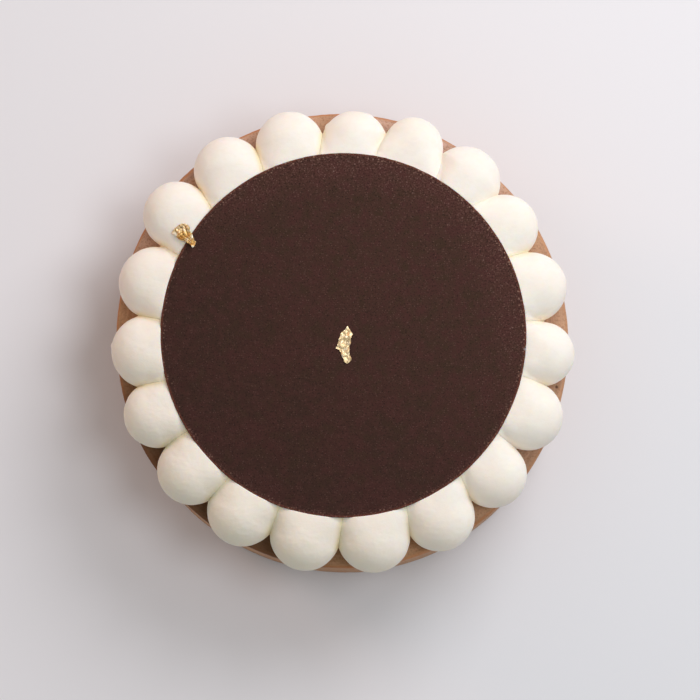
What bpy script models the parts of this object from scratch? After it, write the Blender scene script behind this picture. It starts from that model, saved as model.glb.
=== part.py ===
"""A round chocolate cheesecake, standing on z = 0 with its axis on the world's Z axis.

Nineteen balls of cream are piped round its rim, and a thin disc of dark chocolate lies pressed a little
into their inner shoulders. A crumpled flake of gold leaf lies in the middle of the disc, and a second one,
shaped like a small fan, leans across the disc's edge onto the cream. Seen from above, bearings run
anticlockwise from +X.
"""

import math

import bmesh
import bpy
from mathutils import Matrix, Vector

# Sizes are in metres and angles in degrees.
GAP = 0.0003  # left between pieces that touch

CAKE_WIDTH = 0.180
CAKE_HEIGHT = 0.045
CAKE_SIDES = 72
CAKE_OVAL = 0.007  # how far the long and the short radius depart from round, as a share
CAKE_LONG_BEARING = 113.0
LIP_RADIUS = 0.0016
LIP_START = 115.0  # where the lip's arc begins, just inside its crest
LIP_DROP = 0.0001  # from the top's level down to the crest of the lip
GROOVE_INSET = 0.0036
GROOVE_DEPTH = 0.0006
GROOVE_REACH = 0.0016  # from the groove's bottom inwards to the flat top
FOOT_RADIUS = 0.0010
ARC_STEPS = 4
SHARP_ANGLE = 40.0  # faces that meet at more than this angle show an edge

DISC_WIDTH = 0.1431
DISC_THICKNESS = 0.0020
DISC_SIDES = 96
DISC_CENTRE = (0.0006, 0.0001)
DISC_EDGE = 0.00035
DISC_SEAT = 0.0187  # from the cake's top up to the underside of the disc

RING_RADIUS = 0.0785  # from the cake's axis to the middle of a ball
FIRST_BEARING = -5.8
# Each ball's width, how far its middle lies outside the ring's radius, and how many degrees it is off an even
# spread, in the order of piping, clockwise.
BALL_WIDTHS = (
    0.0251, 0.0273, 0.0266, 0.0275, 0.02865, 0.0276, 0.0279, 0.0273, 0.02625, 0.0292,
    0.0289, 0.0269, 0.02725, 0.0271, 0.02625, 0.0238, 0.02825, 0.0264, 0.0276,
)
BALL_OUTSETS = (
    0.00075, 0.0010, 0.0015, 0.00165, 0.00075, 0.00075, 0.0, 0.0002, 0.00015, -0.0023,
    -0.00195, 0.0025, 0.00125, 0.00025, -0.0016, 0.00215, 0.0, -0.0009, -0.0010,
)
BALL_SHIFTS = (
    1.1, 1.9, 1.5, 1.2, 0.6, 0.1, -0.2, 0.1, 0.0, 0.5,
    -1.0, -2.4, -2.7, -2.8, -2.6, -0.4, 0.8, 2.0, 1.7,
)
USUAL_BALL_WIDTH = 0.0275
BALL_HEIGHT = 0.0212  # of a ball of the usual width
BELLY_SHARE = 0.41  # the height of a ball's widest place, as a share of its height
BASE_SHARE = 0.70  # the width of a ball's flat base, as a share of its width
INNER_STRETCH = 1.30  # a ball's inner half is longer than round by this factor
BALL_SIDES = 20
BALL_RINGS = 11

LEAF_THICKNESS = 0.00025
LEAF_COLUMNS = 6
LEAF_ROWS = 13
# Outlines of the two flakes, seen from above and looking along from the tip: distance from the tip, then how
# far the left and the right edge lie from the middle line.
CENTRE_LEAF = (
    (0.0, 0.0002, 0.0002),
    (0.0015, 0.0013, 0.0010),
    (0.0030, 0.0022, 0.0024),
    (0.0044, 0.0015, 0.0026),
    (0.0073, 0.0014, 0.0035),
    (0.0087, 0.0009, 0.0043),
    (0.0102, 0.0009, 0.0024),
    (0.0131, 0.0017, 0.0014),
    (0.0146, 0.0004, 0.0004),
)
RIM_LEAF = (
    (0.0, 0.0002, 0.0002),
    (0.0018, 0.0005, 0.0025),
    (0.0034, 0.0010, 0.0023),
    (0.0048, 0.0013, 0.0024),
    (0.0053, 0.0024, 0.0024),
    (0.0064, 0.0026, 0.0023),
    (0.0082, 0.0032, 0.0030),
    (0.0094, 0.0038, 0.0029),
    (0.0108, 0.0006, 0.0006),
)
CENTRE_LEAF_TIP = (0.0024, 0.0035)
CENTRE_LEAF_HEADING = -91.0
CENTRE_LEAF_CRUMPLE = 0.00045
RIM_LEAF_TIP = (-0.0583, 0.0340)
RIM_LEAF_HEADING = 119.0
RIM_LEAF_CRUMPLE = 0.00040
RIM_LEAF_RISE = 0.0022  # how far the crown of the fan's arch stands over its tip
# How a flake is folded and arched, from its tip to its end, as radians of a sine wave.
LEAF_ARCH = 2.3
LEAF_FOLDS = 9.0
FIRST_FOLD = 1.5
LEAF_RIPPLES = 15.0
RIPPLE_SLANT = 4.0
RIPPLE_SHARE = 0.6  # of a fold's height

DARK_CHOCOLATE = (0.050, 0.024, 0.020)
MILK_CHOCOLATE = (0.300, 0.150, 0.080)
CREAM = (0.900, 0.840, 0.730)
GOLD = (0.900, 0.680, 0.280)


def clear_scene():
    """Removes whatever objects the scene already has."""
    for thing in list(bpy.data.objects):
        bpy.data.objects.remove(thing, do_unlink=True)


def new_collection(name):
    """Adds a collection under the scene's own."""
    collection = bpy.data.collections.new(name)
    bpy.context.scene.collection.children.link(collection)
    return collection


def material(name, colour, roughness, metallic=0.0):
    """A Principled BSDF with one colour."""
    finish = bpy.data.materials.new(name)
    finish.use_nodes = True
    shader = finish.node_tree.nodes["Principled BSDF"]
    shader.inputs["Base Color"].default_value = (*colour, 1.0)
    shader.inputs["Roughness"].default_value = roughness
    shader.inputs["Metallic"].default_value = metallic
    return finish


def add_object(name, mesh, collection, finish):
    """Puts a mesh in the scene as an object with one material."""
    mesh.materials.append(finish)
    thing = bpy.data.objects.new(name, mesh)
    collection.objects.link(thing)
    return thing


def mesh_from(bm, name):
    """Turns a bmesh into a mesh that is shaded smooth but for its sharp edges."""
    mesh = bpy.data.meshes.new(name)
    bm.to_mesh(mesh)
    bm.free()
    mesh.shade_smooth()
    mesh.set_sharp_from_angle(angle=math.radians(SHARP_ANGLE))
    return mesh


def arc(centre, radius, first, last):
    """Points of an arc in the XZ plane, from one angle to another."""
    points = []
    for step in range(ARC_STEPS + 1):
        angle = math.radians(first + (last - first) * step / ARC_STEPS)
        points.append((centre[0] + radius * math.cos(angle), centre[1] + radius * math.sin(angle)))
    return points


def cake_profile():
    """Half of the cake's section, from the middle of the top down its side to the middle of the base."""
    radius = CAKE_WIDTH / 2
    groove = (radius - GROOVE_INSET, CAKE_HEIGHT - GROOVE_DEPTH)
    lip_centre = (radius - LIP_RADIUS, CAKE_HEIGHT - LIP_DROP - LIP_RADIUS)
    foot_centre = (radius - FOOT_RADIUS, FOOT_RADIUS)
    return [
        (0.0, CAKE_HEIGHT),
        (groove[0] - GROOVE_REACH, CAKE_HEIGHT),
        groove,
        *arc(lip_centre, LIP_RADIUS, LIP_START, 0),
        *arc(foot_centre, FOOT_RADIUS, 0, -90),
        (0.0, 0.0),
    ]


def add_cake(collection, finish):
    """The cheesecake: a turned section, drawn very slightly oval."""
    profile = cake_profile()
    mesh = bpy.data.meshes.new("cake")
    mesh.from_pydata([(x, 0.0, z) for x, z in profile], [(i, i + 1) for i in range(len(profile) - 1)], [])
    cake = add_object("cake", mesh, collection, finish)
    turn = cake.modifiers.new("turned", "SCREW")
    turn.steps = turn.render_steps = CAKE_SIDES
    turn.use_merge_vertices = True
    turn.merge_threshold = 0.00001
    turn.use_smooth_shade = True
    cake.scale = (1 + CAKE_OVAL, 1 - CAKE_OVAL, 1)
    cake.rotation_euler.z = math.radians(CAKE_LONG_BEARING)


def round_plate(name, radius, thickness):
    """A flat round plate, as high as it is thick, centred on the origin."""
    bm = bmesh.new()
    bmesh.ops.create_cone(
        bm, cap_ends=True, segments=DISC_SIDES, radius1=radius, radius2=radius, depth=thickness
    )
    return mesh_from(bm, name)


def add_disc(collection, finish):
    """The chocolate disc, with its edges just broken."""
    plate = round_plate("chocolate_disc", DISC_WIDTH / 2, DISC_THICKNESS)
    disc = add_object("chocolate_disc", plate, collection, finish)
    disc.location = (*DISC_CENTRE, CAKE_HEIGHT + DISC_SEAT + DISC_THICKNESS / 2)
    edge = disc.modifiers.new("broken_edge", "BEVEL")
    edge.width = DISC_EDGE
    edge.segments = 2
    edge.limit_method = "ANGLE"


def add_seat_cutter(collection):
    """What the disc presses out of the cream: its own outline with a gap, open at the top."""
    depth = BALL_HEIGHT
    cutter = bpy.data.objects.new("disc_seat", round_plate("disc_seat", DISC_WIDTH / 2 + GAP, depth))
    cutter.location = (*DISC_CENTRE, CAKE_HEIGHT + DISC_SEAT - GAP + depth / 2)
    cutter.hide_render = True
    cutter.display_type = "WIRE"
    collection.objects.link(cutter)
    return cutter


def ball_bearings():
    """Each ball's bearing: spread evenly round the ring, and each a little off its place."""
    step = 360 / len(BALL_WIDTHS)
    return [math.radians(FIRST_BEARING - step * i + shift) for i, shift in enumerate(BALL_SHIFTS)]


def ball_places():
    """The middle of each ball's base, on the cake's top."""
    places = []
    for bearing, outset in zip(ball_bearings(), BALL_OUTSETS):
        radius = RING_RADIUS + outset
        places.append(Vector((radius * math.cos(bearing), radius * math.sin(bearing), CAKE_HEIGHT + GAP)))
    return places


def slice_off(bm, point, normal):
    """Cuts away what lies beyond a plane and closes the cut."""
    everything = bm.verts[:] + bm.edges[:] + bm.faces[:]
    cut = bmesh.ops.bisect_plane(
        bm, geom=everything, dist=1e-7, plane_co=point, plane_no=normal, clear_outer=True
    )
    rim = [item for item in cut["geom_cut"] if isinstance(item, bmesh.types.BMEdge)]
    if rim:
        bmesh.ops.edgeloop_fill(bm, edges=rim)


def squashed_ball(width):
    """A ball of soft cream, its outward side on +X: flat below, widest under its middle, longer inwards."""
    radius = width / 2
    height = BALL_HEIGHT * math.sqrt(width / USUAL_BALL_WIDTH)
    belly = BELLY_SHARE * height
    below = belly / math.sqrt(1 - BASE_SHARE**2)
    bm = bmesh.new()
    bmesh.ops.create_uvsphere(bm, u_segments=BALL_SIDES, v_segments=BALL_RINGS, radius=1.0)
    for vert in bm.verts:
        x, y, z = vert.co
        inward = INNER_STRETCH if x < 0 else 1.0
        upward = height - belly if z > 0 else below
        vert.co = (radius * inward * x, radius * y, belly + upward * z)
    slice_off(bm, (0, 0, 0), (0, 0, -1))
    return bm


def add_balls(collection, finish, seat_cutter):
    """The ring of cream balls, each cut flat where its neighbours press on it and where the disc sits."""
    places = ball_places()
    count = len(places)
    for i, (place, bearing, width) in enumerate(zip(places, ball_bearings(), BALL_WIDTHS)):
        to_local = Matrix.Rotation(-bearing, 3, "Z")
        bm = squashed_ball(width)
        for j in ((i - 1) % count, (i + 1) % count):
            apart = places[j] - place
            distance = apart.length
            share = (distance**2 + (width / 2) ** 2 - (BALL_WIDTHS[j] / 2) ** 2) / (2 * distance)
            normal = to_local @ apart.normalized()
            slice_off(bm, normal * (share - GAP / 2), normal)
        bmesh.ops.recalc_face_normals(bm, faces=bm.faces)
        name = f"cream_ball_{i + 1:02d}"
        ball = add_object(name, mesh_from(bm, name), collection, finish)
        ball.location = place
        ball.rotation_euler.z = bearing
        seat = ball.modifiers.new("disc_seat", "BOOLEAN")
        seat.object = seat_cutter
        seat.operation = "DIFFERENCE"


def outline_at(outline, distance):
    """The left and right edge of a flake at a distance from its tip."""
    for (start, left, right), (end, next_left, next_right) in zip(outline, outline[1:]):
        if distance <= end:
            share = (distance - start) / (end - start)
            return left + (next_left - left) * share, right + (next_right - right) * share
    return outline[-1][1:]


def leaf_mesh(name, outline, crumple, rise):
    """A flake's wavy sheet, from its tip along +X, with its lowest point at z = 0."""
    bm = bmesh.new()
    bmesh.ops.create_grid(bm, x_segments=LEAF_ROWS, y_segments=LEAF_COLUMNS, size=0.5)
    length = outline[-1][0]
    for vert in bm.verts:
        along = vert.co.x + 0.5
        across = vert.co.y + 0.5
        left, right = outline_at(outline, along * length)
        wave = math.sin(LEAF_FOLDS * along + FIRST_FOLD) * math.cos(2 * math.pi * across)
        wave += RIPPLE_SHARE * math.sin(LEAF_RIPPLES * along + RIPPLE_SLANT * across)
        arch = math.sin(LEAF_ARCH * along)
        y = left + (-right - left) * across
        vert.co = (along * length, y, crumple * wave + rise * arch)
    lowest = min(vert.co.z for vert in bm.verts)
    bmesh.ops.translate(bm, verts=bm.verts, vec=(0, 0, -lowest))
    bmesh.ops.triangulate(bm, faces=bm.faces)
    bmesh.ops.recalc_face_normals(bm, faces=bm.faces)
    return mesh_from(bm, name)


def add_leaf(name, collection, finish, outline, tip, heading, crumple, rise=0.0):
    """A flake of gold leaf: a thin sheet, lying on the disc by its lowest points."""
    leaf = add_object(name, leaf_mesh(name, outline, crumple, rise), collection, finish)
    disc_top = CAKE_HEIGHT + DISC_SEAT + DISC_THICKNESS
    leaf.location = (*tip, disc_top + GAP + LEAF_THICKNESS)
    leaf.rotation_euler.z = math.radians(heading)
    wall = leaf.modifiers.new("thickness", "SOLIDIFY")
    wall.thickness = LEAF_THICKNESS
    wall.offset = 0.0


def main():
    clear_scene()
    cheesecake = new_collection("chocolate_cheesecake")
    cutters = new_collection("cutters")
    dark = material("dark_chocolate", DARK_CHOCOLATE, 0.60)
    milk = material("milk_chocolate", MILK_CHOCOLATE, 0.50)
    cream = material("cream", CREAM, 0.45)
    gold = material("gold_leaf", GOLD, 0.30, metallic=1.0)
    add_cake(cheesecake, milk)
    add_balls(cheesecake, cream, add_seat_cutter(cutters))
    add_disc(cheesecake, dark)
    add_leaf(
        "gold_leaf_centre", cheesecake, gold, CENTRE_LEAF,
        CENTRE_LEAF_TIP, CENTRE_LEAF_HEADING, CENTRE_LEAF_CRUMPLE,
    )
    add_leaf(
        "gold_leaf_rim", cheesecake, gold, RIM_LEAF,
        RIM_LEAF_TIP, RIM_LEAF_HEADING, RIM_LEAF_CRUMPLE, RIM_LEAF_RISE,
    )


main()
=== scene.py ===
"""A round chocolate cheesecake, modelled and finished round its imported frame.

The cake, the nineteen balls of cream on its rim, the chocolate disc that lies on them and the two flakes of gold leaf
each stand for the frame's plain solid of the same place and size. Sizes are in metres, angles in degrees. Seen from
above, bearings run anticlockwise from +X.
"""

import math

import bmesh
import bpy
import numpy as np
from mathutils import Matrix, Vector, noise


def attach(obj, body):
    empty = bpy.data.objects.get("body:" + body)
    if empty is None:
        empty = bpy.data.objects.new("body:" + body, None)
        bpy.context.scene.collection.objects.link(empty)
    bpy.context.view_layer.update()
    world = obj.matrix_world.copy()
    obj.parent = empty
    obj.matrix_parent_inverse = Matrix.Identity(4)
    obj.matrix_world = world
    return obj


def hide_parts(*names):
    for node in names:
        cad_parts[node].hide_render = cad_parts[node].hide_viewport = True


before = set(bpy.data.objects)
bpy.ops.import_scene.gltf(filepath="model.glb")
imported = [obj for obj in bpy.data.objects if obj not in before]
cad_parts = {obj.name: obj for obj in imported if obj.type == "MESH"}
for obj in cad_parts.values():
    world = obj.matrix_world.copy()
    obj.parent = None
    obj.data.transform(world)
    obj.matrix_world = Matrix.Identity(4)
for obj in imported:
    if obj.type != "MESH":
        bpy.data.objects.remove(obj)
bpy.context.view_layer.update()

# The cake.
CAKE_WIDTH = 0.180
CAKE_HEIGHT = 0.045
CAKE_OVAL = 0.007  # how far the long and the short radius depart from round, as a share
CAKE_LONG_BEARING = 113.0
CAKE_STEPS = 720  # of the turned section, all the way round
LIP_RADIUS = 0.0016
FOOT_RADIUS = 0.0010
HIDDEN_REACH = 0.062  # inside this radius nothing of the cake's top can be seen
PLAIN_REACH = 0.078  # and inside this one little of it
HIDDEN_STEP, PLAIN_STEP, RIM_STEP, SIDE_STEP, BASE_STEP = 0.0155, 0.0016, 0.00036, 0.0009, 0.045  # of the mesh

# What the palette knife has left on the cake: a fold on one side, a groove inside the lip, and smears. Each one's
# height or depth, its width, and how far inside the cake's edge it lies.
FOLD_DIRECTION = (0.437, -0.899)
FOLD_REACH, FOLD_FULL = 8.0, 3.0  # degrees from its middle
FOLD_INSET, FOLD_DEPTH, FOLD_WIDTH = 0.0040, 0.0010, 0.00060
FOLD_SLANT, FOLD_WAVER = 0.0016, 0.0004
CREST_INSET, CREST_HEIGHT, CREST_WIDTH = 0.0016, 0.00055, 0.0009  # of the cream pushed up inside the fold
GROOVE_INSET, GROOVE_DEPTH, GROOVE_WIDTH = 0.0030, 0.00018, 0.0007
SMEAR_HEIGHT, SIDE_SMEAR_HEIGHT = 0.00010, 0.00016
TOP_UNEVENNESS, SIDE_UNEVENNESS, CAKE_GRAIN = 0.00025, 0.00035, 0.00007

# Where painted shade darkens the cake's top on the side away from the light, and where painted light makes it paler
# on the lit sides: the bearing, how far off it the tone starts and is full, and how strong it is.
PAINTED_SHADE_SIDES = ((-132.0, 50.0, 24.0, 1.0),)
PAINTED_LIGHT_SIDES = ((65.0, 38.0, 14.0, 1.25), (-10.0, 55.0, 25.0, 0.42), (130.0, 48.0, 20.0, 0.90))

# The disc.
DISC_WIDTH = 0.1431
DISC_THICKNESS = 0.0020
DISC_CENTRE = (0.0006, 0.0001)
DISC_EDGE = 0.00035
DISC_SEAT = 0.0187  # from the cake's top up to the underside of the disc
DISC_CELLS = 280  # of its mesh, from side to side
DISC_TOP = CAKE_HEIGHT + DISC_SEAT + DISC_THICKNESS
DISC_GRAIN = 0.00005
DISC_WARP = 0.00010
DISC_CHIPS = 0.00010
CRUMBLE_HEIGHT = 0.00010
ROUGH_BEARING = 60.0  # the middle of the side on which the disc's edge is crumbly
NICK_BEARING, NICK_DEPTH, NICK_WIDTH = -4.2, 0.0005, 0.35  # of the small nick in the disc's edge

# The balls of cream, in the order of piping, clockwise: each one's width, how far its middle lies outside the ring's
# radius, and how many degrees it is off an even spread.
RING_RADIUS = 0.0785
FIRST_BEARING = -5.8
BALL_WIDTHS = (
    0.0251, 0.0273, 0.0266, 0.0275, 0.02865, 0.0276, 0.0279, 0.0273, 0.02625, 0.0292,
    0.0289, 0.0269, 0.02725, 0.0271, 0.02625, 0.0238, 0.02825, 0.0264, 0.0276,
)
BALL_OUTSETS = (
    0.00075, 0.0010, 0.0015, 0.00165, 0.00075, 0.00075, 0.0, 0.0002, 0.00015, -0.0023,
    -0.00195, 0.0025, 0.00125, 0.00025, -0.0016, 0.00215, 0.0, -0.0009, -0.0010,
)
BALL_SHIFTS = (
    1.1, 1.9, 1.5, 1.2, 0.6, 0.1, -0.2, 0.1, 0.0, 0.5,
    -1.0, -2.4, -2.7, -2.8, -2.6, -0.4, 0.8, 2.0, 1.7,
)
SEAM_LEANS = (
    -4.0, -3.0, -14.0, -9.0, -8.0, 0.0, -6.0, 0.0, 0.0, -11.0,
    -23.0, -12.0, -5.0, -10.0, -23.0, 26.0, -14.0, -5.0, -4.0,
)  # how far the seam after each ball turns from straight across, about its outer end
SEAM_SHADES = (
    0.3, 0.15, 0.5, 0.7, 1.3, 1.4, 1.2, 1.5, 1.0, 1.0,
    0.7, 0.8, 0.9, 0.7, 0.4, 0.0, 0.2, 0.7, 0.45,
)  # how much painted yellow shade the seam after each ball gets
SLIP_WIDTH = 0.0080  # how far from a seam the cream has slipped with it
SLIP_DEPTH = 0.0130
USUAL_BALL_WIDTH = 0.0275
BALL_HEIGHT = 0.0212
BELLY_SHARE = 0.41
BASE_SHARE = 0.70
INNER_STRETCH = 1.30
OPEN_PLAN = 2.0  # how full a ball is, seen from above and from the side: 2 is an ellipse, more is squarer
OPEN_CROWN = 2.15
PRESSED_PLAN = 3.6  # the same where the disc presses on it
PRESSED_CROWN = 3.0
PRESSED_SPAN = (0.002, -0.007)  # where that starts and is full, outward from a ball's middle
BALL_SINK = 0.0006  # how far a ball's foot has settled into the cake's top
BALL_SIDES = 112
BALL_RINGS = 72
SEAM_OVERLAP = 0.00004  # how far two balls reach into each other, so that no light falls between them
SEAM_ROUNDING = 0.00005
SEAM_FILLET = 0.0009  # how softly two balls run together
SHADE_FILLET = 0.0022  # the same on the side away from the light
INNER_FILLET = 0.0034  # and next to the disc
SHADE_SPAN, INNER_SPAN, SHARP_SPAN = (0.0120, 0.0070), (0.009, 0.0), (0.0080, 0.0125)  # from the disc's edge
SHARPENING = 0.7  # how much sharper a seam is at its outer end
SEAM_SHADE_WIDTH = 0.0013
CREAM_WARP, CREAM_RIPPLE, CREAM_BRUSHING = 0.00016, 0.00005, 0.00005
RAY_LENGTH = 0.035  # farther from a ball's middle than any of its cream
RAY_HALVINGS = 18
FINE_SEAM, FINE_EDGE, FINEST_EDGE = 0.0022, 0.0013, 0.0006  # how far from a seam or the disc's edge the mesh is finer
FINE_FROM = 0.006  # and from how high above the cake
LIT_BEARING = 50.0  # the side on which the balls meet in sharp seams
SHADED_SIDE_BEARING = -118.0  # the side away from the light, on which the cream gets painted shade
SHADED_SIDE_DIRECTION = (-0.62, -0.78, 0.0)  # where the cream with that painted shade faces

# Cream banked up between the balls and the disc's edge: its top at the edge, and how it falls away outside.
BANK_DROP = 0.0020
BANK_SLOPE = 0.5
BANK_CURVE = 200.0
BANK_BLEND = 0.0020
BANK_INNER_END = 0.003  # how far in under the disc it reaches before it drops
BANK_INNER_SLOPE = 4
DISC_OVERLAP = 0.0001
DISC_ROUNDING = 0.00015

# Small marks on the balls: ball number, place, radius and how far the cream stands out there.
BALL_MARKS = (
    (10, (-0.0908, -0.0031, 0.0530), 0.0011, 0.00060),
    (15, (-0.0062, 0.0838, 0.0560), 0.0011, 0.00050),
    (15, (0.0115, 0.0893, 0.0545), 0.0016, 0.00045),
)

# The flakes of gold leaf: distance from the tip, then how far the left and the right edge lie from the middle line.
CENTRE_LEAF = (
    (0.0, 0.0001, 0.0001),
    (0.0006, 0.00055, 0.0004),
    (0.0015, 0.0011, 0.0011),
    (0.0024, 0.0015, 0.0023),
    (0.0033, 0.0021, 0.0028),
    (0.0039, 0.0016, 0.00285),
    (0.0048, 0.0013, 0.0030),
    (0.0066, 0.00135, 0.00385),
    (0.0079, 0.0008, 0.00385),
    (0.0087, 0.00075, 0.00475),
    (0.0093, 0.0007, 0.00325),
    (0.0103, 0.00075, 0.00245),
    (0.0115, 0.00095, 0.00225),
    (0.0126, 0.0016, 0.00175),
    (0.0135, 0.00145, 0.0014),
    (0.0141, 0.0008, 0.0012),
    (0.0147, 0.0001, 0.0002),
)
RIM_LEAF = (
    (0.0, 0.0002, 0.0002),
    (0.0003, 0.0001, 0.0010),
    (0.0015, 0.0002, 0.0024),
    (0.0022, 0.0005, 0.0020),
    (0.0034, 0.0012, 0.0021),
    (0.0044, 0.0021, 0.0023),
    (0.0060, 0.0032, 0.0023),
    (0.0076, 0.0036, 0.0027),
    (0.0086, 0.00435, 0.0028),
    (0.0094, 0.0042, 0.0025),
    (0.0101, 0.0032, 0.0017),
    (0.0106, 0.0006, 0.0006),
)
CENTRE_LEAF_TIP = (0.0022, 0.0034)
CENTRE_LEAF_HEADING = -90.0
RIM_LEAF_TIP = (-0.0583, 0.0340)
RIM_LEAF_HEADING = 119.0
RIM_LEAF_RISE = 0.0019  # how far its tip stands off the disc
RIM_LEAF_REST = 0.55  # where it comes down on the disc's edge and the ball, as a share of its length
LEAF_CLEARANCE = 0.0001
LEAF_THICKNESS = 0.00008
LEAF_CELLS = (72, 48)  # of its mesh, along and across
PAINTED_HIGHLIGHTS = (
    ((-0.0653, 0.0392, DISC_TOP + 0.0005), 0.0016),
    ((-0.0583, 0.0384, DISC_TOP + 0.0005), 0.0015),
    ((-0.0572, 0.0368, DISC_TOP + 0.0010), 0.0013),
    ((-0.0583, 0.0342, DISC_TOP + 0.0020), 0.0011),
)  # painted highlights on the leaf at the edge: where each lies, and how far it reaches

# The camera looks down from a little in front of the cake.
CAMERA_TARGET = (0.0032, -0.0041, 0.045)
CAMERA_TILT = 5.2
CAMERA_DISTANCE = 1.600
CAMERA_LENS = 207.9
CAMERA_NEAR = 0.05

# The studio: a pale floor and sky, and three lights, each with its place, size, power and colour.
FLOOR_WIDTH = 4.0
FLOOR_GAP = 0.0002
FLOOR_COLOUR = (0.836, 0.812, 0.824, 1.0)
SKY_COLOUR = (0.952, 1.0, 1.005, 1.0)
SKY_STRENGTH = 0.379
LIGHT_TARGET = (0.0, 0.0, 0.03)
LIGHTS = (
    ("key", (0.4545, 0.5417, 0.737), 0.60, 5.47, (0.955, 0.953, 0.990)),
    ("overhead", (0.40, -0.05, 1.25), 0.45, 3.32, (0.895, 0.943, 1.0)),
    ("warm_fill", (-1.058, 0.611, 0.475), 0.45, 2.45, (1.0, 0.445, 0.245)),
)

SMOOTH_ANGLE = 50.0  # sharper edges than this stay sharp


# ---- Modelling helpers -------------------------------------------------------------------------------------------


def deselect_all():
    for thing in list(bpy.context.selected_objects):
        thing.select_set(False)


def begin(name):
    """Names the primitive that was just added and opens it for editing, with nothing selected."""
    piece = bpy.context.object
    piece.name = piece.data.name = name
    bpy.ops.object.mode_set(mode="EDIT")
    bpy.ops.mesh.select_all(action="DESELECT")
    return piece


def end():
    bpy.ops.object.mode_set(mode="OBJECT")


def choose(piece, test, kind="verts"):
    """Selects the vertices, edges or faces that pass a test, and nothing else."""
    bpy.ops.mesh.select_all(action="DESELECT")
    mesh = bmesh.from_edit_mesh(piece.data)
    for item in getattr(mesh, kind):
        if test(item):
            item.select_set(True)
    mesh.select_flush_mode()
    bmesh.update_edit_mesh(piece.data)


def places_of(piece, what="co"):
    """The places, or the normals, of a piece's vertices as rows of three numbers."""
    flat = np.empty(len(piece.data.vertices) * 3, np.float32)
    piece.data.vertices.foreach_get(what, flat)
    return flat.reshape(-1, 3).astype(float)


def move_to(piece, places):
    piece.data.vertices.foreach_set("co", places.astype(np.float32).ravel())
    piece.data.update()


def paint(piece, name, values):
    """Keeps one number for each vertex, for the piece's material to read."""
    layer = piece.data.attributes.new(name, "FLOAT", "POINT")
    layer.data.foreach_set("value", np.asarray(values, np.float32))


def lumps(places, cell, octaves=3):
    """Smooth noise of about -1 to 1, whose largest lumps are a cell wide."""
    return np.array([noise.fractal(Vector(place) / cell, 1.0, 2.0, octaves) for place in places])


def bell(values):
    return np.exp(-np.square(values))


def fade(values, start, end_value):
    """0 before the start, 1 after the end, and smooth in between."""
    share = np.clip((values - start) / (end_value - start), 0.0, 1.0)
    return share * share * (3 - 2 * share)


def soft_min(a, b, rounding):
    """The smaller of two values, with the corner between them rounded off."""
    share = np.clip(0.5 + 0.5 * (b - a) / rounding, 0.0, 1.0)
    return b + (a - b) * share - rounding * share * (1 - share)


def soft_max(a, b, rounding):
    return -soft_min(-a, -b, rounding)


def apply_modifiers(piece):
    bpy.context.view_layer.objects.active = piece
    for modifier in list(piece.modifiers):
        bpy.ops.object.modifier_apply(modifier=modifier.name)


def finish_piece(piece, node, material):
    """Shades a piece, gives it its material and puts it in its node's stead."""
    deselect_all()
    piece.select_set(True)
    bpy.context.view_layer.objects.active = piece
    bpy.ops.object.transform_apply(location=True, rotation=True, scale=True)
    bpy.ops.object.shade_smooth_by_angle(angle=math.radians(SMOOTH_ANGLE))
    piece.data.materials.clear()
    piece.data.materials.append(material)
    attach(piece, "root")
    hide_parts(node)
    deselect_all()


# ---- Materials ---------------------------------------------------------------------------------------------------


class Value:
    """A socket in a material. Sums on it add the nodes that work them out."""

    def __init__(self, finish, socket):
        self.finish = finish
        self.socket = socket

    def sum_of(self, operation, *terms):
        return self.finish.node("ShaderNodeMath", {"operation": operation}, dict(enumerate(terms)))

    def __add__(self, other):
        return self.sum_of("ADD", self, other)

    __radd__ = __add__

    def __sub__(self, other):
        return self.sum_of("SUBTRACT", self, other)

    def __rsub__(self, other):
        return self.sum_of("SUBTRACT", other, self)

    def __mul__(self, other):
        return self.sum_of("MULTIPLY", self, other)

    __rmul__ = __mul__

    def band(self, low, high):
        """0 below low, 1 above high, smooth in between. The other way round where low is the greater."""
        sockets = {"Value": self, "From Min": low, "From Max": high}
        return self.finish.node("ShaderNodeMapRange", {"interpolation_type": "SMOOTHSTEP"}, sockets)


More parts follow.
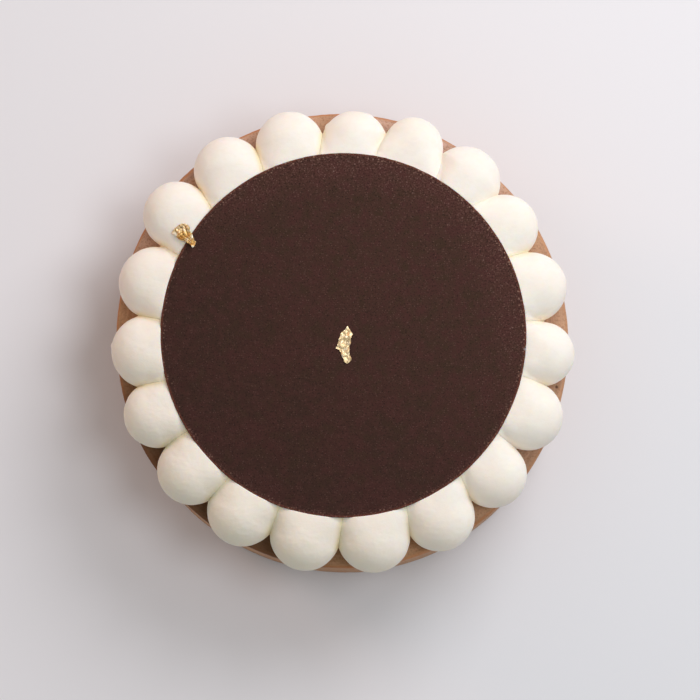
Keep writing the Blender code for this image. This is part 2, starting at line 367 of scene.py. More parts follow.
class Finish:
    """A material that is being mixed, with its shader and its maker's few tools."""

    def __init__(self, name, **constants):
        self.material = bpy.data.materials.new(name)
        self.material.use_nodes = True
        self.tree = self.material.node_tree
        self.shader = self.tree.nodes["Principled BSDF"]
        for socket, value in constants.items():
            self.shader.inputs[socket.replace("_", " ")].default_value = value
        self.place = self.node("ShaderNodeTexCoord", output="Object")

    def feed(self, socket, value):
        if isinstance(value, Value):
            self.tree.links.new(value.socket, socket)
        elif socket.type == "RGBA" and len(value) == 3:
            socket.default_value = (*value, 1.0)
        else:
            socket.default_value = value

    def node(self, kind, settings=None, inputs=None, output=0):
        """Adds one node: its settings first, then what its sockets get. Returns one of its outputs."""
        made = self.tree.nodes.new(kind)
        for name, value in (settings or {}).items():
            setattr(made, name, value)
        for socket, value in (inputs or {}).items():
            self.feed(made.inputs[socket], value)
        return Value(self, made.outputs[output])

    def mix(self, share, first, second):
        """Two colours mixed: all of the first at a share of 0, all of the second at 1."""
        return self.node("ShaderNodeMix", {"data_type": "RGBA"}, {0: share, 6: first, 7: second}, 2)

    def vector(self, operation, output=0, **inputs):
        named = {"a": 0, "b": 1, "scale": 3}
        return self.node(
            "ShaderNodeVectorMath", {"operation": operation}, {named[k]: v for k, v in inputs.items()}, output
        )

    def noise(self, cell, detail=2.0, roughness=0.5, at=None, twist=0.0):
        """Cloudy noise from 0 to 1, whose clouds are a cell wide."""
        sockets = {"Vector": at or self.place, "Scale": 1 / cell, "Detail": detail, "Roughness": roughness}
        return self.node("ShaderNodeTexNoise", inputs={**sockets, "Distortion": twist})

    def cells(self, cell, output="Distance"):
        """Cells of a given width: the distance from each one's middle, as a share of a cell, or its own colour."""
        return self.node("ShaderNodeTexVoronoi", inputs={"Vector": self.place, "Scale": 1 / cell}, output=output)

    def attribute(self, name):
        return self.node("ShaderNodeAttribute", {"attribute_name": name}, output="Fac")

    def spot(self, place, radius, softness=0.5):
        """1 at a place on the surface, 0 outside a radius from it."""
        away = self.vector("DISTANCE", "Value", a=self.place, b=place)
        return away.band(radius, radius * (1 - softness))

    def bump(self, height, distance, strength):
        return self.node("ShaderNodeBump", inputs={"Height": height, "Distance": distance, "Strength": strength})

    def done(self, **sockets):
        """Links what changes over the surface to the shader, and gives the material."""
        for socket, value in sockets.items():
            self.feed(self.shader.inputs[socket.replace("_", " ")], value)
        return self.material


def milk_chocolate_finish():
    """The cake's own surface: a set, satin chocolate cream, smoothed along the rim with a palette knife."""
    f = Finish("milk_chocolate_cake", Specular_IOR_Level=0.18, Subsurface_Weight=0.12, Subsurface_Scale=0.0015)
    flat = f.vector("MULTIPLY", a=f.place, b=(1.0, 1.0, 0.0))
    reach = f.vector("LENGTH", "Value", a=flat)
    height = f.node("ShaderNodeSeparateXYZ", inputs={0: f.place}, output=2)
    bearing = f.vector("NORMALIZE", a=flat)
    across = f.node("ShaderNodeCombineXYZ", inputs={2: (reach - height) * 900.0})
    along_rim = f.vector("ADD", a=f.vector("SCALE", a=bearing, scale=9.0), b=across)
    streaks = f.noise(1.0, 3.0, 0.6, at=along_rim)
    along_side = f.node("ShaderNodeCombineXYZ", inputs={2: height * 210.0})
    swipes = f.noise(1.0, 2.0, 0.5, at=f.vector("ADD", a=f.vector("SCALE", a=bearing, scale=2.4), b=along_side))
    upper = height.band(CAKE_HEIGHT - 0.0045, CAKE_HEIGHT - 0.0010)
    side = 1.0 - upper
    clouds = f.noise(0.016, 3.0, 0.55)
    grain = f.noise(0.0009, 3.0, 0.65)
    bubbles = f.cells(0.0042).band(0.11, 0.05)
    bubbles_wanted = f.noise(0.009, 1.0).band(0.50, 0.60)
    pores = bubbles * bubbles_wanted
    mark = f.spot((0.0849, -0.0188, CAKE_HEIGHT), 0.0007)
    tone = f.mix(clouds.band(0.32, 0.68), (0.432, 0.229, 0.112), (0.515, 0.290, 0.150))
    # painted light: the top paler on the sides where the lamps shine
    tone = f.mix(f.attribute("pale") * 0.60, tone, (0.640, 0.430, 0.350))
    tone = f.mix(streaks.band(0.46, 0.62) * upper * 0.26, tone, (0.660, 0.400, 0.250))
    tone = f.mix(streaks.band(0.48, 0.34) * upper * 0.30, tone, (0.300, 0.140, 0.070))
    tone = f.mix(swipes.band(0.50, 0.66) * side * 0.24, tone, (0.560, 0.310, 0.180))
    tone = f.mix(swipes.band(0.48, 0.32) * side * 0.24, tone, (0.360, 0.175, 0.090))
    tone = f.mix(grain.band(0.49, 0.64) * 0.55, tone, (0.310, 0.145, 0.065))
    tone = f.mix(side * 0.30, tone, (0.440, 0.202, 0.090))
    rim_depth = f.vector("DOT_PRODUCT", "Value", a=f.place, b=(-10.0, 0.0, 0.0)).band(-0.9, -0.1)
    tone = f.mix(f.attribute("rim") * (0.40 + 0.45 * rim_depth), tone, (0.500, 0.195, 0.070))
    # painted shade: the top darker on its lower left, away from the light
    tone = f.mix(f.attribute("painted_shade") * 0.84, tone, (0.103, 0.042, 0.015))
    tone = f.mix(pores * 0.6, tone, (0.180, 0.072, 0.034))
    tone = f.mix(mark * 0.8, tone, (0.080, 0.030, 0.016))
    relief = streaks * (0.1 + 0.6 * upper) + swipes * side * 1.6 + grain * 0.5 - pores * 0.9 - mark * 1.4
    return f.done(
        Base_Color=tone,
        Roughness=0.48 + 0.22 * grain - 0.10 * streaks,
        Normal=f.bump(relief, 0.00022, 0.55),
    )


def cream_finish():
    """Piped whipped cream: smooth, dense, slightly see-through, with painted shade in the seams and on one side."""
    f = Finish(
        "whipped_cream",
        Subsurface_Weight=0.45,
        Subsurface_Radius=(1.0, 0.72, 0.42),
        Subsurface_Scale=0.0006,
        Specular_IOR_Level=0.16,
    )
    clouds = f.noise(0.011, 2.0, 0.5)
    silk = f.noise(0.0011, 3.0, 0.6)
    bubbles = f.cells(0.0021).band(0.10, 0.04) * f.noise(0.006, 1.0).band(0.52, 0.62)
    tone = f.mix(clouds.band(0.35, 0.65), (0.975, 0.862, 0.764), (0.990, 0.888, 0.797))
    # painted shade: the cream yellower and darker along the seams between the balls
    tone = f.mix(f.attribute("seam_shade") * 0.80, tone, (0.870, 0.735, 0.420))
    brushed = f.noise(1.0, 3.0, 0.65, at=f.vector("MULTIPLY", a=f.place, b=(430.0, 620.0, 520.0)))
    tone = f.mix(brushed.band(0.56, 0.36) * 0.14, tone, (0.880, 0.770, 0.640))
    # painted shade: the cream deeper and yellower on the side of the cake away from the light, where it faces that way
    shaded_side = f.attribute("shaded_side")
    tone = f.mix(shaded_side * 0.95, tone, (0.805, 0.735, 0.590))
    relief = silk * 0.4 + brushed * (1.7 + 2.6 * shaded_side) - bubbles * 0.5
    return f.done(
        Base_Color=tone,
        Roughness=0.52 + 0.14 * clouds + 0.08 * silk,
        Normal=f.bump(relief, 0.00008, 0.5),
    )


def dark_chocolate_finish():
    """A thin sheet of dark chocolate with a fine, dry grain, rougher and crumbly toward its upper right edge."""
    f = Finish("dark_chocolate_disc", Specular_IOR_Level=0.12)
    edge = f.attribute("edge")
    rough_band = f.attribute("rough_band")
    clouds = f.noise(0.020, 3.0, 0.6)
    tints = f.noise(0.0048, 3.0, 0.6)
    mottle = f.noise(0.0030, 3.0, 0.65)
    grain = f.noise(0.00065, 2.0, 0.7)
    # specks: fine grains of the chocolate, partly painted glints
    specks = f.cells(0.0008).band(0.46, 0.16) * f.cells(0.0008, "Color").band(0.45, 0.85)
    dust = f.cells(0.0014).band(0.30, 0.12) * f.cells(0.0014, "Color").band(0.60, 0.95)
    # painted sheen: the disc lighter toward the upper right, where the light falls, with more specks, tints and dust
    painted_sheen = f.vector("DOT_PRODUCT", "Value", a=f.place, b=(8.0, 11.0, 0.0)).band(-0.8, 1.0)
    tone = f.mix(clouds.band(0.38, 0.62), (0.0400, 0.0174, 0.0117), (0.0470, 0.0170, 0.0127))
    tone = f.mix(painted_sheen * 0.75, tone, (0.0640, 0.0276, 0.0187))
    tone = f.mix(mottle.band(0.42, 0.66) * 0.40, tone, (0.0640, 0.0262, 0.0182))
    tone = f.mix(tints.band(0.50, 0.62) * (0.35 + 0.30 * painted_sheen), tone, (0.0640, 0.0208, 0.0177))
    tone = f.mix(tints.band(0.46, 0.36) * (0.35 + 0.30 * painted_sheen), tone, (0.0430, 0.0228, 0.0118))
    tone = f.mix(rough_band * 0.45, tone, (0.0800, 0.0260, 0.0210))
    tone = f.mix(grain.band(0.47, 0.32) * 0.8, tone, (0.0160, 0.0064, 0.0045))
    tone = f.mix(grain.band(0.53, 0.68) * rough_band * 0.8, tone, (0.150, 0.071, 0.056))
    tone = f.mix(specks * (0.24 + 0.18 * painted_sheen + 0.50 * rough_band), tone, (0.175, 0.088, 0.069))
    tone = f.mix(dust * (0.04 + 0.06 * painted_sheen + 0.55 * rough_band), tone, (0.300, 0.180, 0.150))
    crumbs = f.cells(0.0009).band(0.48, 0.22) * f.cells(0.0009, "Color").band(0.45, 0.80) * f.attribute("crumbs")
    # painted highlight: a thin reddish line where the rounded edge catches the light
    tone = f.mix(edge * 0.85, tone, (0.150, 0.044, 0.027))
    tone = f.mix(grain.band(0.50, 0.36) * f.attribute("crumbs") * 0.7, tone, (0.0150, 0.0050, 0.0035))
    tone = f.mix(crumbs * 0.85, tone, (0.290, 0.162, 0.116))
    tone = f.mix(f.spot((0.0715, -0.0056, DISC_TOP), 0.0007), tone, (0.230, 0.180, 0.155))
    relief = grain * 0.6 + mottle * 0.5 + specks * 0.6 + crumbs * 0.6
    return f.done(
        Base_Color=tone,
        Roughness=0.62 + 0.18 * grain - 0.14 * specks,
        Normal=f.bump(relief, 0.00022, 0.7),
    )


def gold_leaf_finish():
    """Edible gold leaf: beaten metal, wrinkled finer than its folds, with painted shade in the folds and pale in
    patches.
    """
    f = Finish("gold_leaf", Metallic=0.85, Specular_IOR_Level=0.4)
    wrinkles = f.noise(0.0010, 3.0, 0.7, twist=1.2)
    stains = f.noise(0.0009, 2.0, 0.6, twist=0.8)
    pale_patches = f.noise(0.0020, 2.0, 0.5, at=f.vector("ADD", a=f.place, b=(0.3, 0.1, 0.0)))
    tone = f.mix(wrinkles.band(0.35, 0.65), (0.640, 0.340, 0.090), (0.840, 0.560, 0.210))
    tone = f.mix(f.attribute("pale") * 0.88, tone, (0.930, 0.715, 0.420))
    tone = f.mix(pale_patches.band(0.52, 0.64) * 0.7, tone, (0.970, 0.860, 0.650))
    # painted shade in the folds
    tone = f.mix(f.attribute("fold") * 0.80, tone, (0.240, 0.132, 0.034))
    tone = f.mix(stains.band(0.58, 0.68) * 0.60, tone, (0.430, 0.275, 0.085))
    # painted highlights on the leaf at the edge
    for place, radius in PAINTED_HIGHLIGHTS:
        tone = f.mix(f.spot(place, radius, 0.7), tone, (1.0, 0.950, 0.780))
    return f.done(
        Base_Color=tone,
        Roughness=0.34 + 0.24 * wrinkles,
        Normal=f.bump(wrinkles, 0.00025, 0.5),
    )


# ---- The cake ----------------------------------------------------------------------------------------------------


def run(start, finish, step):
    """Points from one place of the section to another, a step apart, without the first."""
    count = max(1, round(math.dist(start, finish) / step))
    return [tuple(a + (b - a) * i / count for a, b in zip(start, finish)) for i in range(1, count + 1)]


def arc(centre, radius, first, last, steps):
    points = []
    for step in range(steps + 1):
        angle = math.radians(first + (last - first) * step / steps)
        points.append((centre[0] + radius * math.cos(angle), centre[1] + radius * math.sin(angle)))
    return points


def cake_section():
    """Half of the cake's section, from the middle of the top over its lip, down its side to the middle of the base."""
    radius = CAKE_WIDTH / 2
    lip = arc((radius - LIP_RADIUS, CAKE_HEIGHT - LIP_RADIUS), LIP_RADIUS, 90, 0, 8)
    foot = arc((radius - FOOT_RADIUS, FOOT_RADIUS), FOOT_RADIUS, 0, -90, 4)
    points = [(0.0, CAKE_HEIGHT)]
    points += run(points[-1], (HIDDEN_REACH, CAKE_HEIGHT), HIDDEN_STEP)
    points += run(points[-1], (PLAIN_REACH, CAKE_HEIGHT), PLAIN_STEP)
    points += run(points[-1], lip[0], RIM_STEP)
    points += lip[1:]
    points += run(points[-1], foot[0], SIDE_STEP)
    points += foot[1:]
    points += run(points[-1], (0.0, 0.0), BASE_STEP)
    return points


def turn_cake():
    """Draws the section as a chain of vertices and spins it into a solid."""
    section = cake_section()
    bpy.ops.mesh.primitive_plane_add(size=0.001, location=(0.0, 0.0, CAKE_HEIGHT))
    cake = begin("cheesecake")
    bpy.ops.mesh.select_all(action="SELECT")
    bpy.ops.mesh.merge(type="CENTER")
    for start, finish in zip(section, section[1:]):
        step = (finish[0] - start[0], 0.0, finish[1] - start[1])
        bpy.ops.mesh.extrude_vertices_move(TRANSFORM_OT_translate={"value": step})
    bpy.ops.mesh.select_all(action="SELECT")
    bpy.ops.mesh.spin(steps=CAKE_STEPS, angle=2 * math.pi, center=(0, 0, 0), axis=(0, 0, 1))
    bpy.ops.mesh.select_all(action="SELECT")
    bpy.ops.mesh.remove_doubles(threshold=0.00001)
    bpy.ops.mesh.normals_make_consistent(inside=False)
    end()
    bpy.ops.object.transform_apply(location=True, rotation=True, scale=True)
    return cake


def smooth_cake(cake):
    """Works the surface as a palette knife leaves it: a fold, a groove inside the lip, and smears on top and side."""
    places, outward = places_of(cake), places_of(cake, "normal")
    reach = np.hypot(places[:, 0], places[:, 1])
    bearing = places[:, :2] / np.maximum(reach, 1e-6)[:, None]
    radius = CAKE_WIDTH / 2

    def round_the_rim(turns, across=0.0, seed=0.0):
        """Noise that closes on itself round the cake."""
        return lumps(np.column_stack([bearing * turns, seed + across * (reach - places[:, 2])]), 1.0)

    top = fade(outward[:, 2], 0.55, 0.95) * fade(reach, 0.060, 0.070)
    side = fade(outward[:, 2], 0.6, 0.2) * fade(places[:, 2], 0.0, 0.003)
    toward_fold = np.degrees(np.arccos(np.clip(bearing @ np.array(FOLD_DIRECTION), -1.0, 1.0)))
    fold = fade(toward_fold, FOLD_REACH, FOLD_FULL)
    slant = FOLD_SLANT * fade(toward_fold, 0.0, FOLD_REACH) + FOLD_WAVER * round_the_rim(9.0, seed=4.0)
    groove = bell((reach - radius + GROOVE_INSET) / GROOVE_WIDTH)
    offset = -FOLD_DEPTH * fold * bell((reach - radius + FOLD_INSET - slant) / FOLD_WIDTH)
    offset += CREST_HEIGHT * fold * bell((reach - radius + FOLD_INSET - CREST_INSET - slant) / CREST_WIDTH)
    offset -= GROOVE_DEPTH * np.maximum(round_the_rim(4.0, seed=9.0), 0.0) * groove
    offset += SMEAR_HEIGHT * round_the_rim(9.0, across=750.0)
    offset += TOP_UNEVENNESS * lumps(places, 0.020, 2)
    offset *= top
    offset += side * SIDE_SMEAR_HEIGHT * round_the_rim(2.6, across=150.0, seed=21.0)
    offset += side * SIDE_UNEVENNESS * lumps(places, 0.028, 2)
    offset += (top + side) * CAKE_GRAIN * lumps(places, 0.0022, 3)
    stretch = np.array([1 + CAKE_OVAL, 1 - CAKE_OVAL])
    turn = math.radians(CAKE_LONG_BEARING)
    along = np.array([math.cos(turn), math.sin(turn)])
    places += outward * offset[:, None]
    long_way = places[:, :2] @ along
    places[:, :2] *= stretch[1]
    places[:, :2] += np.outer(long_way * (stretch[0] - stretch[1]), along)
    move_to(cake, places)
    near_top = fade(places[:, 2], CAKE_HEIGHT - 0.006, CAKE_HEIGHT - 0.001)
    paint(cake, "rim", bell((reach - radius + 0.0004) / 0.00055) * near_top)
    turned = np.degrees(np.arctan2(bearing[:, 1], bearing[:, 0]))
    # painted shade on the side away from the light, and painted light on the lit sides
    for name, sides in (("painted_shade", PAINTED_SHADE_SIDES), ("pale", PAINTED_LIGHT_SIDES)):
        tone = np.zeros(len(places))
        for side_bearing, start, finish, strength in sides:
            apart = np.abs((turned - side_bearing + 180.0) % 360.0 - 180.0)
            tone = np.maximum(tone, strength * fade(apart, start, finish))
        paint(cake, name, tone * near_top)


def add_cake(material):
    cake = turn_cake()
    smooth_cake(cake)
    finish_piece(cake, "cake", material)


# ---- The disc ----------------------------------------------------------------------------------------------------


def rounded_square(places):
    """Moves a square grid of side 2 onto a circle of radius 1, with cells of about one size."""
    x, y = places[:, 0], places[:, 1]
    wide = np.abs(x) >= np.abs(y)
    reach = np.where(wide, x, y)
    share = np.where(wide, y, x) / np.where(np.abs(reach) < 1e-9, 1.0, reach)
    angle = math.pi / 4 * share
    along, across = reach * np.cos(angle), reach * np.sin(angle)
    return np.column_stack([np.where(wide, along, across), np.where(wide, across, along), places[:, 2]])


def add_disc(material):
    """The disc: a round sheet, its edge turned down, its top grained and its upper right edge a little crumbled."""
    radius = DISC_WIDTH / 2
    flat_reach = radius - DISC_EDGE
    bpy.ops.mesh.primitive_grid_add(x_subdivisions=DISC_CELLS, y_subdivisions=DISC_CELLS, size=2.0, location=(0, 0, 0))
    disc = bpy.context.object
    sheet = rounded_square(places_of(disc)) * flat_reach
    sheet[:, 2] = DISC_TOP
    sheet[:, :2] += DISC_CENTRE
    move_to(disc, sheet)
    begin("chocolate_disc_sheet")
    choose(disc, lambda edge: edge.is_boundary, "edges")
    reach, low = flat_reach, DISC_TOP
    centre = (*DISC_CENTRE, DISC_TOP)
    angles = (0.5, 1.0, math.pi / 2)
    corner = [(flat_reach + DISC_EDGE * math.sin(angle), DISC_EDGE * (1 - math.cos(angle))) for angle in angles]
    steps = [(r, DISC_TOP - drop) for r, drop in corner]
    steps += [(radius, DISC_TOP - DISC_THICKNESS / 2)]
    steps += [(r, DISC_TOP - DISC_THICKNESS + drop) for r, drop in reversed(corner)]
    steps += [(flat_reach, DISC_TOP - DISC_THICKNESS)]
    for next_reach, next_low in steps:
        bpy.ops.mesh.extrude_edges_move(TRANSFORM_OT_translate={"value": (0.0, 0.0, next_low - low)})
        grow = next_reach / reach
        bpy.ops.transform.resize(value=(grow, grow, 1.0), center_override=centre)
        reach, low = next_reach, next_low
    bpy.ops.mesh.edge_face_add()
    bpy.ops.mesh.select_all(action="SELECT")
    bpy.ops.mesh.normals_make_consistent(inside=False)
    end()
    places = places_of(disc)
    from_centre = places[:, :2] - DISC_CENTRE
    away = np.hypot(from_centre[:, 0], from_centre[:, 1])
    bearing = np.degrees(np.arctan2(from_centre[:, 1], from_centre[:, 0]))
    on_top = places[:, 2] > DISC_TOP - 0.0001
    to_rough_side = fade(np.abs(bearing - ROUGH_BEARING), 100.0, 35.0)
    uneven = 0.0030 * lumps(places, 0.010, 2)
    rough_band = 0.85 * to_rough_side * fade(away + uneven, radius - 0.0170, radius - 0.0020)
    crumbly = 0.45 * fade(away + 0.3 * uneven, radius - 0.0032, radius - 0.0008)
    rough_band = np.maximum(rough_band, crumbly * fade(np.abs(np.abs(bearing) - 180.0), 10.0, 50.0))
    grain = DISC_GRAIN * lumps(places, 0.0024, 3) + DISC_WARP * lumps(places, 0.018, 2)
    grain += CRUMBLE_HEIGHT * rough_band * lumps(places, 0.0013, 2)
    places[:, 2] += np.where(on_top, grain, 0.0)
    chips = DISC_CHIPS * lumps(places, 0.0030, 3) - NICK_DEPTH * bell((bearing - NICK_BEARING) / NICK_WIDTH)
    pull = np.where(away > radius - 0.0012, chips, 0.0) / radius
    places[:, :2] += from_centre * pull[:, None]
    move_to(disc, places)
    paint(disc, "rough_band", rough_band)
    paint(disc, "crumbs", fade(away, radius - 0.0030, radius - 0.0010) * (0.65 + 0.50 * to_rough_side))
    # painted highlight along the rounded corner of the disc's top
    on_corner = fade(places[:, 2], DISC_TOP - 0.0009, DISC_TOP - 0.0003)
    paint(disc, "edge", fade(away, radius - 0.0010, radius - 0.0003) * on_corner)
    finish_piece(disc, "chocolate_disc", material)


# ---- The balls of cream ------------------------------------------------------------------------------------------


def ball_bearings():
    """Each ball's bearing: spread evenly round the ring, and each a little off its place."""
    step = 360 / len(BALL_WIDTHS)
    return [math.radians(FIRST_BEARING - step * i + shift) for i, shift in enumerate(BALL_SHIFTS)]


def model_usual_ball():
    """One ball as it leaves the nozzle, on the origin, its outward side on +X: widest below its middle, flat below."""
    radius = USUAL_BALL_WIDTH / 2
    belly = BELLY_SHARE * BALL_HEIGHT
    below = belly / math.sqrt(1 - BASE_SHARE**2)
    bpy.ops.mesh.primitive_uv_sphere_add(segments=BALL_SIDES, ring_count=BALL_RINGS, radius=radius, location=(0, 0, 0))
    ball = begin("cream_ball")
    tiny = 1e-6
    choose(ball, lambda vert: vert.co.z > tiny)
    bpy.ops.transform.resize(value=(1, 1, (BALL_HEIGHT - belly) / radius), center_override=(0, 0, 0))
    choose(ball, lambda vert: vert.co.z < -tiny)
    bpy.ops.transform.resize(value=(1, 1, below / radius), center_override=(0, 0, 0))
    choose(ball, lambda vert: vert.co.x < -tiny)
    bpy.ops.transform.resize(value=(INNER_STRETCH, 1, 1), center_override=(0, 0, 0))
    bpy.ops.mesh.select_all(action="SELECT")
    bpy.ops.transform.translate(value=(0, 0, belly))
    bpy.ops.mesh.bisect(plane_co=(0, 0, 0), plane_no=(0, 0, -1), clear_outer=True, use_fill=True)
    end()
    return ball


class PipedBall:
    """Where one ball of cream stands and how it left the nozzle."""

    def __init__(self, bearing, reach, width):
        self.bearing = bearing
        self.outward = np.array([math.cos(bearing), math.sin(bearing), 0.0])
        self.sideways = np.array([-math.sin(bearing), math.cos(bearing), 0.0])
        self.foot = self.outward * reach + (0.0, 0.0, CAKE_HEIGHT)
        self.size = width / USUAL_BALL_WIDTH
        self.radius = width / 2
        self.height = BALL_HEIGHT * math.sqrt(self.size)
        self.middle = self.foot + (0.0, 0.0, BELLY_SHARE * self.height)
        self.lit = 0.5 + 0.5 * math.cos(bearing - math.radians(LIT_BEARING))
        self.shaded_side = (0.5 + 0.5 * math.cos(bearing - math.radians(SHADED_SIDE_BEARING))) ** 2

    def outside(self, places):
        """How far places lie outside the ball, before it settles. Inside it, the number is negative."""
        away = places - self.middle
        outward, sideways, up = away @ self.outward, away @ self.sideways, away[:, 2]
        belly = BELLY_SHARE * self.height
        reach = np.where(outward < 0, self.radius * INNER_STRETCH, self.radius)
        rise = np.where(up < 0, belly / math.sqrt(1 - BASE_SHARE**2), self.height - belly)
        pressed = fade(outward, *PRESSED_SPAN)
        plan = OPEN_PLAN + (PRESSED_PLAN - OPEN_PLAN) * pressed
        crown = OPEN_CROWN + (PRESSED_CROWN - OPEN_CROWN) * pressed
        crown = 2.0 + (crown - 2.0) * fade(up, -0.004, 0.002)
        flat = (np.abs(outward / reach) ** plan + np.abs(sideways / self.radius) ** plan) ** (1 / plan)
        share = (flat**crown + np.abs(up / rise) ** crown) ** (1 / crown)
        return (share - 1) * self.radius

    def wall_with(self, other):
        """The direction to a neighbour, and how far off lies the upright plane in which the two balls meet."""
        apart = other.foot - self.foot
        distance = np.linalg.norm(apart)
        return apart / distance, (distance**2 + self.radius**2 - other.radius**2) / (2 * distance)

    def slip(self, other, lean, places):
        """How far the cream has slipped sideways along the seam with a neighbour, more and more from its outer end."""
        direction, share = self.wall_with(other)
        across = np.array([-direction[1], direction[0], 0.0])
        across *= np.sign(across @ self.outward)
        outer_end = self.foot + direction * share + across * math.sqrt(max(self.radius**2 - share**2, 0.0))
        inward = np.clip((outer_end - places) @ across, 0.0, SLIP_DEPTH)
        past = (places - self.foot) @ direction - share
        clockwise = np.array([across[1], -across[0], 0.0])
        return np.outer(inward * math.tan(math.radians(lean)) * bell(past / SLIP_WIDTH), clockwise)

    def before_slip(self, neighbours, places):
        """Where places lay before the cream slipped."""
        return places - sum(self.slip(other, lean, places) for other, lean in neighbours)


def beyond_disc(places):
    """How far places lie outside the disc's edge, seen from above."""
    return np.linalg.norm(places[:, :2] - DISC_CENTRE, axis=1) - DISC_WIDTH / 2


def settled_outside(places, ball, neighbours, uneven):
    """How far places lie outside the cream, once the balls have run together, banked up at the disc and set."""
    unslipped = ball.before_slip(neighbours, places)
    cream = ball.outside(unslipped)
    beyond = beyond_disc(places)
    fillet = SEAM_FILLET + (SHADE_FILLET - SEAM_FILLET) * (1 - ball.lit) * fade(beyond, *SHADE_SPAN)
    fillet += (INNER_FILLET - fillet) * fade(beyond, *INNER_SPAN)
    fillet *= 1 - SHARPENING * fade(beyond, *SHARP_SPAN)
    for other, _ in neighbours:
        cream = soft_min(cream, other.outside(unslipped), fillet)
    run = np.maximum(beyond, 0.0)
    bank_top = DISC_TOP - BANK_DROP - BANK_SLOPE * run - BANK_CURVE * run**2
    bank_top -= BANK_INNER_SLOPE * np.maximum(-BANK_INNER_END - beyond, 0.0)
    cream = soft_min(cream, places[:, 2] - bank_top, BANK_BLEND) - uneven
    for other, _ in neighbours:
        direction, share = ball.wall_with(other)
        cream = soft_max(cream, (unslipped - ball.foot) @ direction - share - SEAM_OVERLAP, SEAM_ROUNDING)
    under_disc = DISC_TOP - DISC_THICKNESS + DISC_OVERLAP
    cream = soft_max(cream, np.minimum(places[:, 2] - under_disc, -DISC_OVERLAP - beyond), DISC_ROUNDING)
    return np.maximum(cream, CAKE_HEIGHT - BALL_SINK - places[:, 2])


def settle_ball(piece, number, ball, neighbours):
    """Slides each vertex along its line from the ball's middle until it lies on the settled cream."""
    places = places_of(piece)
    free = fade(places[:, 2], CAKE_HEIGHT, CAKE_HEIGHT + 0.004)
    uneven = CREAM_WARP * lumps(places, 0.012, 2) + CREAM_RIPPLE * lumps(places, 0.0034, 2)
    uneven += CREAM_BRUSHING * ball.shaded_side * lumps(places * (1.0, 1.7, 1.2), 0.0024, 2)
    for marked, spot, radius, height in BALL_MARKS:
        if marked == number:
            uneven += height * bell(np.linalg.norm(places - spot, axis=1) / radius)
    uneven *= free
    towards = places - ball.middle
    towards /= np.linalg.norm(towards, axis=1)[:, None]
    near, far = np.zeros(len(places)), np.full(len(places), RAY_LENGTH)
    for _ in range(RAY_HALVINGS):
        half = (near + far) / 2
        out = settled_outside(ball.middle + towards * half[:, None], ball, neighbours, uneven) > 0
        near, far = np.where(out, near, half), np.where(out, half, far)
    move_to(piece, ball.middle + towards * near[:, None])


def refine_ball(piece, ball, neighbours, seam_width, edge_width):
    """Cuts the mesh finer where the ball meets its neighbours and the edge of the disc."""
    places = places_of(piece)
    unslipped = ball.before_slip(neighbours, places)
    wanted = np.abs(beyond_disc(places)) < edge_width
    for other, _ in neighbours:
        direction, share = ball.wall_with(other)
        wanted |= np.abs((unslipped - ball.foot) @ direction - share) < seam_width
    wanted &= places[:, 2] > CAKE_HEIGHT + FINE_FROM
    bpy.ops.object.mode_set(mode="EDIT")
    choose(piece, lambda vert: wanted[vert.index])
    bpy.ops.mesh.subdivide(number_cuts=1)
    end()


def add_balls(material):
    usual = model_usual_ball()
    reaches = [RING_RADIUS + outset for outset in BALL_OUTSETS]
    balls = [PipedBall(*measures) for measures in zip(ball_bearings(), reaches, BALL_WIDTHS)]
    for i, ball in enumerate(balls):
        piece = usual.copy()
        piece.data = usual.data.copy()
        bpy.context.collection.objects.link(piece)
        piece.name = piece.data.name = f"whipped_cream_ball_{i + 1:02d}"
        tall = (ball.height + BALL_SINK) / BALL_HEIGHT
        piece.scale = (ball.size, ball.size, tall)
        piece.rotation_euler.z = ball.bearing
        piece.location = Vector(ball.foot) - Vector((0, 0, BALL_SINK))
        deselect_all()
        piece.select_set(True)
        bpy.context.view_layer.objects.active = piece
        bpy.ops.object.transform_apply(location=True, rotation=True, scale=True)
        neighbours = ((balls[i - 1], SEAM_LEANS[i - 1]), (balls[(i + 1) % len(balls)], SEAM_LEANS[i]))
        settle_ball(piece, i + 1, ball, neighbours)
        refine_ball(piece, ball, neighbours, FINE_SEAM, FINE_EDGE)
        refine_ball(piece, ball, neighbours, 0.0, FINEST_EDGE)
        settle_ball(piece, i + 1, ball, neighbours)
        places = places_of(piece)
        unslipped = ball.before_slip(neighbours, places)
        # painted shade along the seams with the neighbours
        seam_shade = np.zeros(len(places))
        for (other, _), seam_shade_share in zip(neighbours, (SEAM_SHADES[i - 1], SEAM_SHADES[i])):
            direction, share = ball.wall_with(other)
            seam_shade = np.maximum(seam_shade, seam_shade_share * bell(((unslipped - ball.foot) @ direction - share) / SEAM_SHADE_WIDTH))
        paint(piece, "seam_shade", seam_shade)
        # painted shade on the balls' sides away from the light
        turned = fade(places_of(piece, "normal") @ np.array(SHADED_SIDE_DIRECTION), -0.6, 0.9)
        paint(piece, "shaded_side", ball.shaded_side * turned)
        finish_piece(piece, f"cream_ball_{i + 1:02d}", material)
    bpy.data.objects.remove(usual, do_unlink=True)


# ---- The gold leaf -----------------------------------------------------------------------------------------------


def edges_at(outline, distances):
    """How far the left and the right edge of a flake lie from its middle line, at distances from its tip."""
    stations, left, right = (np.array(column) for column in zip(*outline))
    return np.interp(distances, stations, left), np.interp(distances, stations, right)


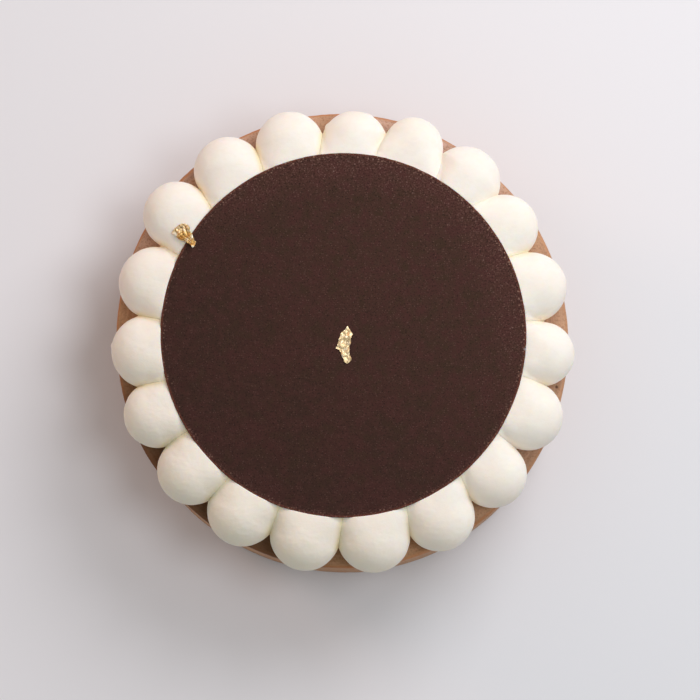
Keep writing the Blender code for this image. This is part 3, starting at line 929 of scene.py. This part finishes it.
def add_leaf(name, node, material, outline, tip, heading, crumple, pleats=0.0, rise=0.0, pale_from=0.0):
    """A flake of gold leaf: a thin wrinkled sheet with torn edges, gathered from its tip where it is pleated."""
    columns, rows = LEAF_CELLS
    bpy.ops.mesh.primitive_grid_add(x_subdivisions=columns, y_subdivisions=rows, size=1.0, location=(0, 0, 0))
    leaf = bpy.context.object
    leaf.name = leaf.data.name = name
    grid = places_of(leaf)
    along, across = grid[:, 0] + 0.5, grid[:, 1] + 0.5
    length = outline[-1][0]
    left, right = edges_at(outline, along * length)
    torn = 1 + 0.14 * lumps(np.column_stack([along * length, across * 0.01, across * 0]), 0.0008, 2)
    y = (left + (-right - left) * across) * torn
    x = along * length
    flat = np.column_stack([x, y, np.zeros(len(x))])
    creased = np.abs(lumps(flat + 0.3, 0.0030, 2))
    lobes = np.abs(np.sin(math.pi * (4.2 * across + 0.55 * lumps(flat + 0.5, 0.0036, 3) - 0.1)))
    wave = crumple * (creased * 2.2 - 0.5)
    wave += 0.55 * crumple * np.abs(lumps(flat + 0.7, 0.0011, 2))
    wave += pleats * np.sqrt(along) * np.sqrt(lobes)
    z = wave - wave.min() + rise * (fade(along, RIM_LEAF_REST, 0.0) - 0.16 * fade(along, RIM_LEAF_REST, 0.95))
    move_to(leaf, np.column_stack([x, y, z]))
    # painted shade in the pleat valleys and creases
    fold_shade = fade(creased, 0.07, 0.0) if pleats == 0 else fade(lobes, 0.50, 0.12) * fade(along, 0.08, 0.25)
    paint(leaf, "fold", fold_shade)
    paint(leaf, "pale", fade(along, pale_from - 0.15, pale_from + 0.15))
    wall = leaf.modifiers.new("thickness", "SOLIDIFY")
    wall.thickness = LEAF_THICKNESS
    wall.offset = 0.0
    apply_modifiers(leaf)
    leaf.location = (*tip, DISC_TOP + LEAF_CLEARANCE)
    leaf.rotation_euler.z = math.radians(heading)
    finish_piece(leaf, node, material)


# ---- The studio --------------------------------------------------------------------------------------------------


def add_floor():
    bpy.ops.mesh.primitive_plane_add(size=FLOOR_WIDTH, location=(0, 0, -FLOOR_GAP))
    floor = bpy.context.object
    floor.name = "studio_floor"
    finish = Finish("studio_floor", Roughness=0.75, Specular_IOR_Level=0.2)
    finish.shader.inputs["Base Color"].default_value = FLOOR_COLOUR
    floor.data.materials.append(finish.material)
    deselect_all()


def add_light(name, place, size, power, colour):
    bpy.ops.object.light_add(type="AREA", location=place)
    light = bpy.context.object
    light.name = name
    light.rotation_euler = (Vector(LIGHT_TARGET) - Vector(place)).to_track_quat("-Z", "Y").to_euler()
    light.data.shape = "DISK"
    light.data.size = size
    light.data.energy = power
    light.data.color = colour
    deselect_all()


def add_camera():
    tilt = math.radians(CAMERA_TILT)
    back = Vector((0.0, -math.sin(tilt), math.cos(tilt)))
    bpy.ops.object.camera_add(location=Vector(CAMERA_TARGET) + back * CAMERA_DISTANCE, rotation=(tilt, 0.0, 0.0))
    camera = bpy.context.object
    camera.data.lens = CAMERA_LENS
    camera.data.clip_start = CAMERA_NEAR
    bpy.context.scene.camera = camera
    deselect_all()


def light_studio():
    world = bpy.data.worlds.new("studio")
    world.use_nodes = True
    background = world.node_tree.nodes["Background"]
    background.inputs["Color"].default_value = SKY_COLOUR
    background.inputs["Strength"].default_value = SKY_STRENGTH
    bpy.context.scene.world = world
    for light in LIGHTS:
        add_light(*light)
    bpy.context.scene.view_settings.view_transform = "Standard"


# ---- All of it ---------------------------------------------------------------------------------------------------

deselect_all()
add_floor()
add_camera()
light_studio()
add_cake(milk_chocolate_finish())
add_disc(dark_chocolate_finish())
add_balls(cream_finish())
gold = gold_leaf_finish()
add_leaf(
    "gold_leaf_on_disc", "gold_leaf_centre", gold, CENTRE_LEAF, CENTRE_LEAF_TIP, CENTRE_LEAF_HEADING,
    crumple=0.00035, pale_from=-0.2,
)
add_leaf(
    "gold_leaf_at_edge", "gold_leaf_rim", gold, RIM_LEAF, RIM_LEAF_TIP, RIM_LEAF_HEADING,
    crumple=0.0005, pleats=0.0006, rise=RIM_LEAF_RISE, pale_from=0.78,
)
